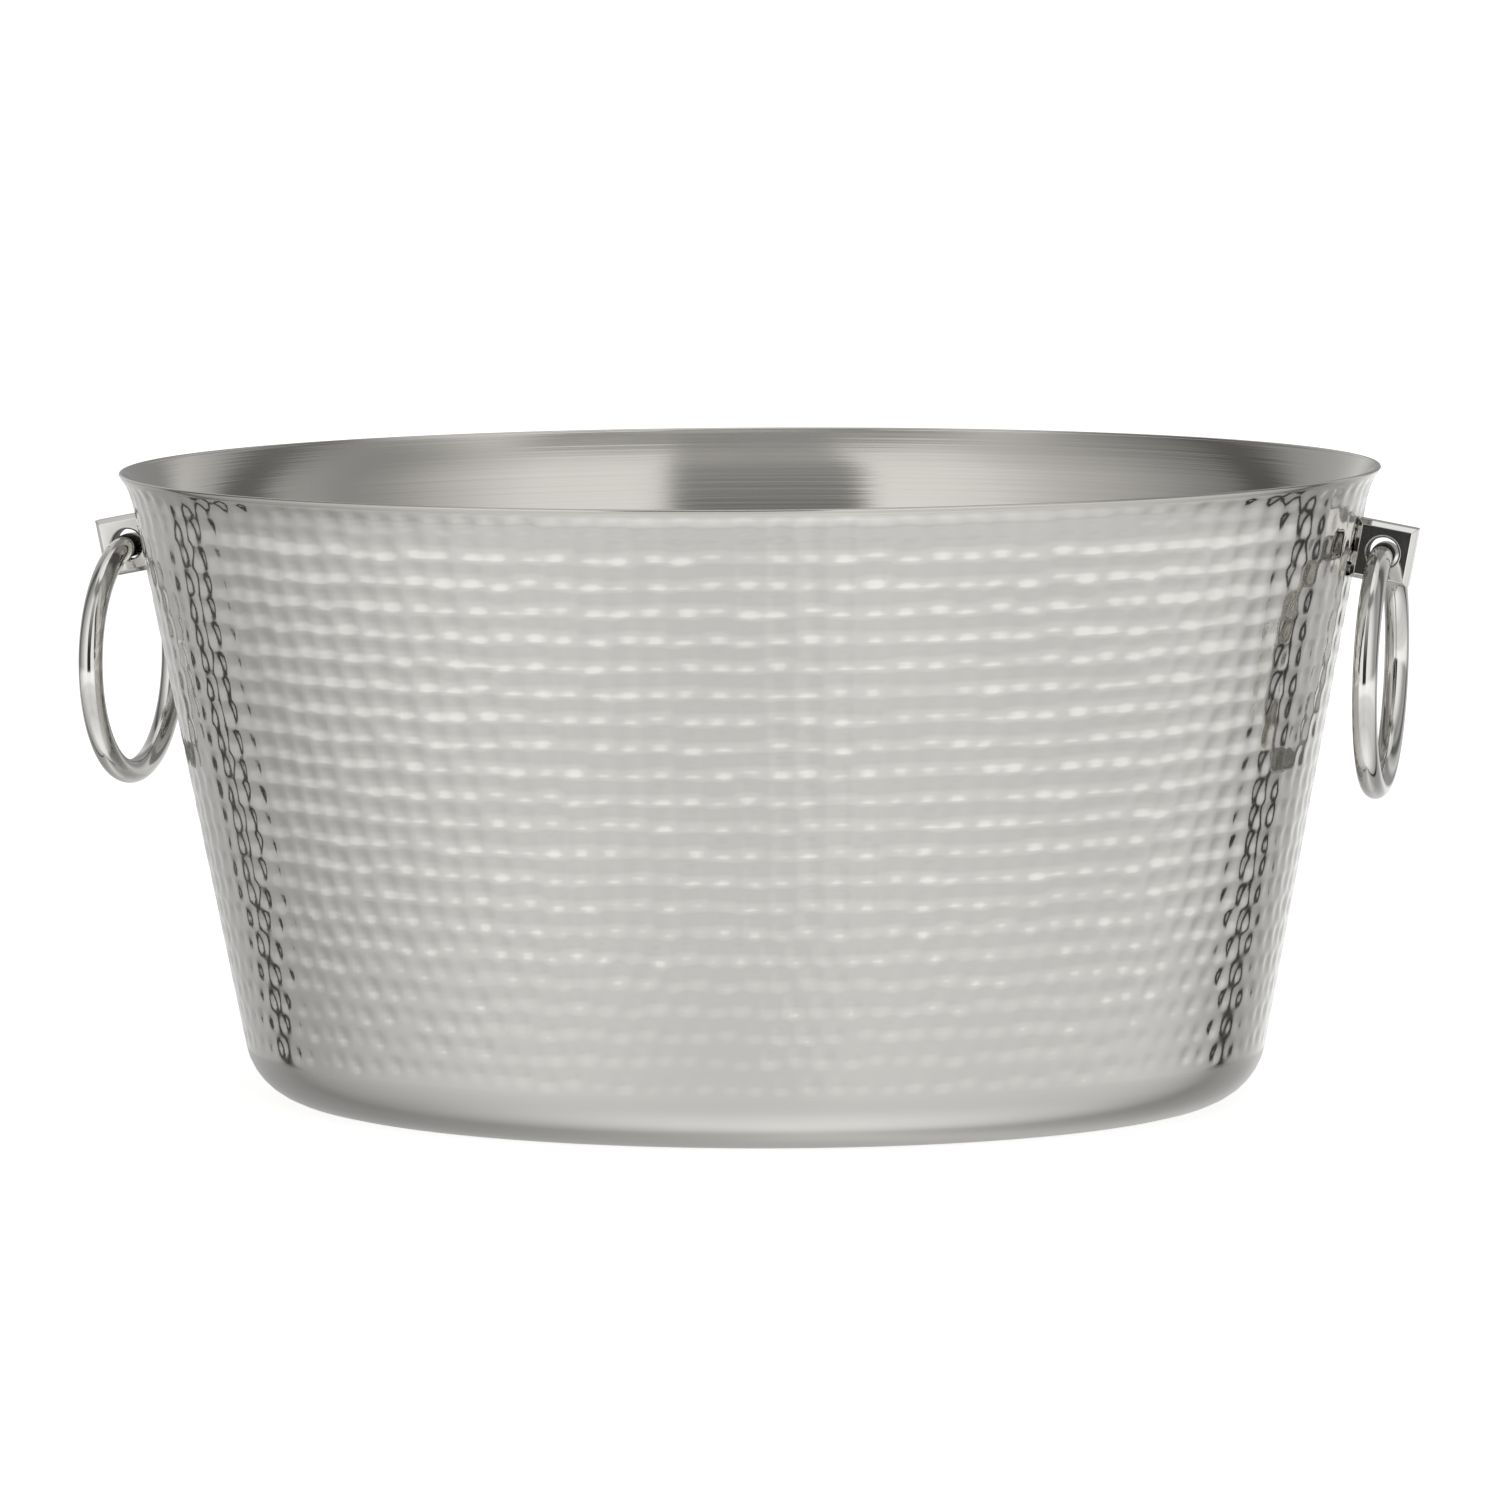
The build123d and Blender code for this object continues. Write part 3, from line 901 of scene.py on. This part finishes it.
class TUB_OT_stage(bpy.types.Operator):
    """Set up the pale floor, the soft studio light round the tub and the camera"""
    bl_idname = "drinks_tub.stage"
    bl_label = "Stage"

    def execute(self, context):
        stage = settings(context).stage
        self.floor(stage)
        self.world()
        self.camera(context, stage)
        context.scene.view_settings.view_transform = "Standard"
        return {"FINISHED"}

    @staticmethod
    def floor(stage):
        """Pale floor that shows white with the tub's shadow, and lets reflections see the studio."""
        half = stage.floor_size / 2
        corners = [(-half, -half, 0), (half, -half, 0), (half, half, 0), (-half, half, 0)]
        mesh = bpy.data.meshes.new("floor")
        mesh.from_pydata(corners, [], [(0, 1, 2, 3)])
        material, t = new_material("pale floor")
        matt = t.add("ShaderNodeBsdfDiffuse", {"Color": (*[stage.floor_grey] * 3, 1.0)})
        path = t.add("ShaderNodeLightPath")
        strength = t.math("MULTIPLY", path.outputs["Is Camera Ray"], stage.floor_glow)
        glow = t.add("ShaderNodeEmission", {"Color": WHITE, "Strength": strength})
        seen = t.add("ShaderNodeAddShader", {0: matt, 1: glow})
        clear = t.add("ShaderNodeBsdfTransparent")
        both = t.add("ShaderNodeMixShader", {0: path.outputs["Is Glossy Ray"], 1: seen, 2: clear})
        t.add("ShaderNodeOutputMaterial", {"Surface": both})
        floor = new_piece("floor", mesh, material)

    @staticmethod
    def world():
        """A round studio of direction alone: soft boxes in front, narrow black flags at the sides."""
        world = bpy.data.worlds.new("studio")
        bpy.context.scene.world = world
        world.use_nodes = True
        world.node_tree.nodes.clear()
        t = Tree(world.node_tree)
        place = t.add("ShaderNodeTexCoord").outputs["Generated"]
        parts = t.add("ShaderNodeSeparateXYZ", {0: place})
        front = t.math("MULTIPLY", parts.outputs["Y"], -1.0)
        turn = t.math("ARCTAN2", parts.outputs["X"], front)
        rise = t.math("ARCSINE", parts.outputs["Z"])
        bearing = t.math("ADD", t.math("DIVIDE", turn, 2 * pi), 0.5)
        climb = t.math("ADD", t.math("DIVIDE", rise, pi), 0.5)

        def around(stops):
            return grey_ramp(t, bearing, stops, *FULL_TURN)

        def upwards(stops):
            return grey_ramp(t, climb, stops, *HALF_TURN)

        def blend(factor, below, above):
            sockets = {"Factor": factor, FLOAT_A: below, FLOAT_B: above}
            return t.add("ShaderNodeMix", sockets, data_type="FLOAT").outputs[0]

        low = t.math("MULTIPLY", around(LOW_ROUND), upwards(LOW_CLIMB))
        high = t.math("MULTIPLY", around(HIGH_ROUND), upwards(HIGH_CLIMB))
        top = blend(upwards(OVERHEAD), around(TOP_ROUND), OVERHEAD_LEVEL)
        studio = blend(upwards(TOP_PART), blend(upwards(UPPER_PART), low, high), top)
        aside = t.math("MULTIPLY", t.math("SUBTRACT", bearing, 0.5), upwards(GAP_NARROWING))
        in_gap = grey_ramp(t, t.math("ADD", aside, 0.5), GAP_ROUND, *FULL_TURN)
        level = t.math("MULTIPLY", studio, blend(in_gap, 1.0, upwards(GAP_CLIMB)))
        light = t.add("ShaderNodeBackground", {"Color": WHITE, "Strength": level})
        white = t.add("ShaderNodeBackground", {"Color": WHITE, "Strength": 1.0})
        path = t.add("ShaderNodeLightPath")
        mixed = t.add("ShaderNodeMixShader", {0: path.outputs["Is Camera Ray"], 1: light, 2: white})
        t.add("ShaderNodeOutputWorld", {"Surface": mixed})

    @staticmethod
    def camera(context, stage):
        """Camera on a level circle round the tub, pitched down and rolled."""
        data = bpy.data.cameras.new("camera")
        data.lens = stage.lens
        data.sensor_width = SENSOR_WIDTH
        camera = new_object("camera", data)
        right = Vector((cos(stage.azimuth), sin(stage.azimuth), 0.0))
        level = Vector((-sin(stage.azimuth), cos(stage.azimuth), 0.0))
        ahead = level * cos(stage.pitch) - Vector((0.0, 0.0, sin(stage.pitch)))
        up = right.cross(ahead)
        right_rolled = right * cos(stage.roll) + up * sin(stage.roll)
        up_rolled = up * cos(stage.roll) - right * sin(stage.roll)
        turn = Matrix((right_rolled, up_rolled, -ahead)).transposed().to_4x4()
        place = Vector((sin(stage.azimuth), -cos(stage.azimuth), 0.0)) * stage.distance
        place.z = stage.height
        camera.matrix_world = Matrix.Translation(place) @ turn
        context.scene.camera = camera


# The studio's light, as stops of (degrees, level). A bearing is measured from straight in front of the
# tub, with its right end positive, and a climb from the horizon. Levels that are blended in go from 0 to 1.

# Below the horizon: pale floor and fronts of the soft boxes, with a narrow black flag at each side.
LOW_ROUND = ((-180, 0.78), (-165, 0.62), (-150, 0.50), (-135, 0.42), (-118.5, 0.43), (-117, 0.03),
             (-113, 0.03), (-111.5, 0.46), (-96, 0.54), (-84, 0.66), (-73, 0.76), (-60, 0.86),
             (-48, 0.95), (-30, 1.0), (-9, 0.95), (9, 0.95), (20, 1.02), (60, 0.96), (94, 0.90),
             (108, 0.80), (129, 0.52), (130.5, 0.03), (135, 0.03), (137, 0.44), (152, 0.46),
             (165, 0.60), (180, 0.78))
LOW_CLIMB = ((-90, 1.25), (-72, 1.22), (-60, 1.05), (-51, 0.98), (-44, 0.85), (-38, 0.92),
             (-30, 0.90), (-27, 0.94), (-25, 0.99), (-18.8, 1.02), (-14.6, 1.34), (-7, 1.40))

# Above it: the soft boxes, with darker openings between them.
HIGH_ROUND = ((-180, 0.30), (-162, 0.32), (-152, 0.70), (-140, 0.5), (-122, 0.38), (-112, 0.12),
              (-103, 0.12), (-97, 0.26), (-85, 0.37), (-73, 0.52), (-54, 0.73), (-46, 0.88), (-40, 1.02),
              (-17, 1.09), (17, 1.09), (44, 1.02), (54, 0.88), (64, 0.71), (78, 0.45), (90, 0.36),
              (101, 0.44), (110, 0.44), (119, 0.16), (130, 0.16), (138, 0.48), (152, 0.70), (162, 0.32),
              (180, 0.30))
HIGH_CLIMB = ((-10, 1.1), (30, 1.1), (57, 0.92))
UPPER_PART = ((-8, 0.0), (-4, 1.0))

# Higher still: the ceiling, dark in front, and a bright panel straight overhead.
TOP_ROUND = ((-180, 0.9), (-72, 0.9), (-55, 0.33), (55, 0.33), (72, 0.9), (180, 0.9))
TOP_PART = ((57, 0.0), (64, 1.0))
OVERHEAD = ((74, 0.0), (79, 1.0))
OVERHEAD_LEVEL = 1.15

# The dark gap in front between two soft boxes, a little narrower with height.
GAP_ROUND = ((-16.6, 0.0), (-14.6, 1.0), (14.6, 1.0), (16.6, 0.0))
GAP_NARROWING = ((8, 1.0), (26, 0.86))
GAP_CLIMB = ((-8.5, 1.0), (-6.5, 0.03), (12, 0.04), (30, 0.20), (41, 0.34), (55, 0.55), (64, 0.8),
             (75, 1.0))


def grey_ramp(t, factor, stops, whole, start):
    """Level read from a row of stops by a factor from 0 to 1, which spans the whole from its start."""
    ramp = t.add("ShaderNodeValToRGB", {"Fac": factor})
    elements = ramp.color_ramp.elements
    while len(elements) > 1:
        elements.remove(elements[-1])
    elements[0].position = (stops[0][0] - start) / whole
    for place, _ in stops[1:]:
        elements.new((place - start) / whole)
    for element, (_, level) in zip(elements, stops):
        element.color = (level, level, level, 1.0)
    return ramp.outputs[0]


# ---------------- add-on

class TUB_PT_panel(bpy.types.Panel):
    """Sizes and steps of the drinks tub"""
    bl_label = "Drinks Tub"
    bl_idname = "TUB_PT_panel"
    bl_space_type = "VIEW_3D"
    bl_region_type = "UI"
    bl_category = "Drinks Tub"

    def draw(self, context):
        for name, group in GROUPS.items():
            box = self.layout.box()
            box.label(text=name.replace("_", " ").capitalize())
            for key in group.__annotations__:
                box.prop(getattr(settings(context), name), key)
        for operator in OPERATORS:
            self.layout.operator(operator.bl_idname)


class TubSettings(bpy.types.PropertyGroup):
    __annotations__ = {name: bpy.props.PointerProperty(type=group) for name, group in GROUPS.items()}


OPERATORS = (TUB_OT_shell, TUB_OT_liner, TUB_OT_lugs, TUB_OT_rings, TUB_OT_hardware, TUB_OT_stage)
CLASSES = (*GROUPS.values(), TubSettings, *OPERATORS, TUB_PT_panel)


def register():
    for cls in CLASSES:
        bpy.utils.register_class(cls)
    bpy.types.Scene.drinks_tub = bpy.props.PointerProperty(type=TubSettings)


def unregister():
    del bpy.types.Scene.drinks_tub
    for cls in reversed(CLASSES):
        bpy.utils.unregister_class(cls)


def main():
    register()
    for step in (bpy.ops.drinks_tub.stage, bpy.ops.drinks_tub.shell, bpy.ops.drinks_tub.liner,
                 bpy.ops.drinks_tub.lugs, bpy.ops.drinks_tub.rings, bpy.ops.drinks_tub.hardware):
        step()


if __name__ == "__main__":
    main()
